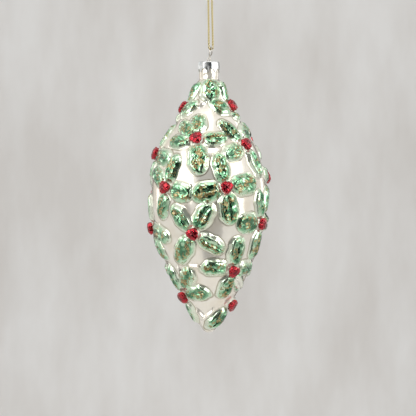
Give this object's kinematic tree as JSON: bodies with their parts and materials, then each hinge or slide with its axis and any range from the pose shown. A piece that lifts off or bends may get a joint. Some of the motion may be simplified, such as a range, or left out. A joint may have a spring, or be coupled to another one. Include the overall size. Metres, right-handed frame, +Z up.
{
  "type": "glass finial ornament",
  "caption": "Pointed blown glass ornament with raised green leaf sprigs and red berries, a scalloped metal cap, a spring wire hanger and a cord loop to hang it by.",
  "frame": {"origin": "inside top of the cord loop, where a hook or a branch holds the ornament", "axes": "+Z up along the hanging ornament, -Y to the front of the picture, +X to its right"},
  "size_m": [0.0647, 0.0663, 0.2025],
  "materials": {
    "glass": "clear gloss over a silvered inside, pearl silver",
    "leaf": "translucent green lacquer over silver, with gold glitter",
    "berry": "glossy red enamel",
    "cap": "bright pressed tinplate",
    "wire": "bright drawn spring wire",
    "cord": "two-ply twisted metallic gold cord"
  },
  "bodies": {
    "cord": {"cord_loop": "cord", "cord_bight": "cord", "cord_knot": "cord"},
    "hanger": {"hanger_wire": "wire"},
    "cap": {"cap": "cap"},
    "glass": {"glass_body": "glass", "leaves_shoulder_1": "leaf", "leaves_shoulder_2": "leaf", "leaves_shoulder_3": "leaf", "leaves_upper_1": "leaf", "leaves_upper_2": "leaf", "leaves_upper_3": "leaf", "leaves_upper_4": "leaf", "leaves_upper_5": "leaf", "leaves_middle_1": "leaf", "leaves_middle_2": "leaf", "leaves_middle_3": "leaf", "leaves_middle_4": "leaf", "leaves_middle_5": "leaf", "leaves_lower_1": "leaf", "leaves_lower_2": "leaf", "leaves_lower_3": "leaf", "leaves_lower_4": "leaf", "leaves_lower_5": "leaf", "leaves_taper_1": "leaf", "leaves_taper_2": "leaf", "leaves_taper_3": "leaf", "leaves_tip_1": "leaf", "leaves_tip_2": "leaf", "leaves_tip_3": "leaf", "leaf_neck_1": "leaf", "leaf_neck_2": "leaf", "leaf_neck_3": "leaf", "berries_shoulder_1": "berry", "berries_shoulder_2": "berry", "berries_shoulder_3": "berry", "berries_upper_1": "berry", "berries_upper_2": "berry", "berries_upper_3": "berry", "berries_upper_4": "berry", "berries_upper_5": "berry", "berries_middle_1": "berry", "berries_middle_2": "berry", "berries_middle_3": "berry", "berries_middle_4": "berry", "berries_middle_5": "berry", "berries_lower_1": "berry", "berries_lower_2": "berry", "berries_lower_3": "berry", "berries_lower_4": "berry", "berries_lower_5": "berry", "berries_taper_1": "berry", "berries_taper_2": "berry", "berries_taper_3": "berry", "berries_tip_1": "berry", "berries_tip_2": "berry", "berries_tip_3": "berry"}
  },
  "joints": [
    {"name": "swing", "type": "hinge", "parent": "cord", "child": "hanger", "pos_m": [0.001, 0, -0.0555], "axis": [0.9397, 0.342, 0], "range_deg": [-90, 90]},
    {"name": "cap_play", "type": "slide", "parent": "hanger", "child": "cap", "axis": [0, 0, 1], "range_m": [0, 0.0014]},
    {"name": "glass_release", "type": "slide", "parent": "cap", "child": "glass", "axis": [0, 0, -1], "range_m": [0, 0.025]}
  ]
}
